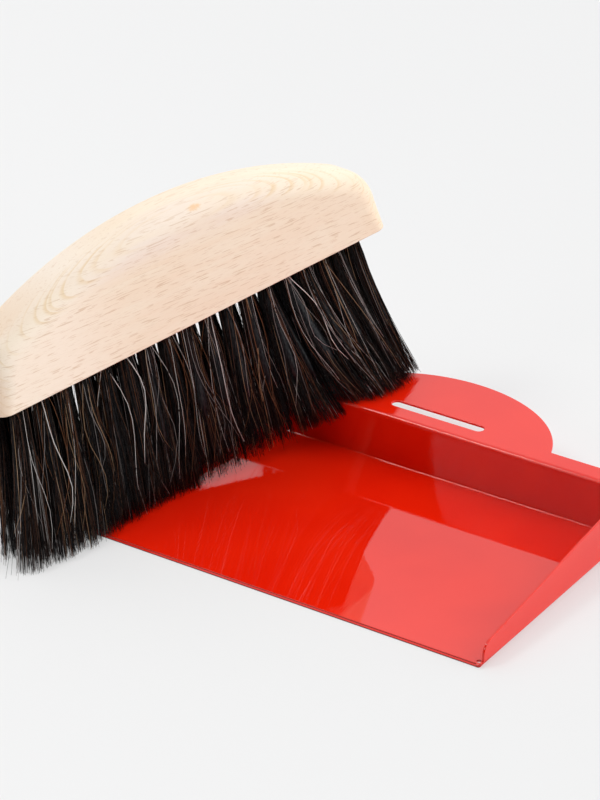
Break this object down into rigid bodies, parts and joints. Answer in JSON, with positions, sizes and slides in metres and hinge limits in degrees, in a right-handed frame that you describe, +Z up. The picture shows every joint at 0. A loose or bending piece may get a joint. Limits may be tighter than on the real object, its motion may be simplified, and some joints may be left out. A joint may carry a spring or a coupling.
{
  "type": "dustpan and brush",
  "caption": "Red lacquered sheet-steel dustpan with a half-moon handle and hanging slot, and a half-moon beech hand brush with long dark horsehair tufts standing across it.",
  "frame": {"origin": "on the underside of the dustpan, at the middle of its floor between the lip and the back wall", "axes": "+X along the front lip towards its right end as seen from the front, +Y from the lip to the handle, +Z up from the surface it lies on"},
  "size_m": [0.2887, 0.2507, 0.1509],
  "materials": {
    "red_lacquer": "gloss",
    "beech": "matt, sanded and lightly oiled",
    "horsehair": "satin",
    "anchor_wire": "satin",
    "magnet": "nickel plated"
  },
  "bodies": {
    "dustpan": {"dustpan_pan": "red_lacquer"},
    "brush": {"brush_block": "beech", "docking_magnet": "magnet", "tufts_front_row": "horsehair", "tufts_middle_row": "horsehair", "tufts_back_row": "horsehair", "anchors_front_row": "anchor_wire", "anchors_middle_row": "anchor_wire", "anchors_back_row": "anchor_wire"}
  },
  "joints": [
    {"name": "brush_lift", "type": "slide", "parent": "dustpan", "child": "brush", "axis": [0, 0, 1], "range_m": [0, 0.12]}
  ]
}
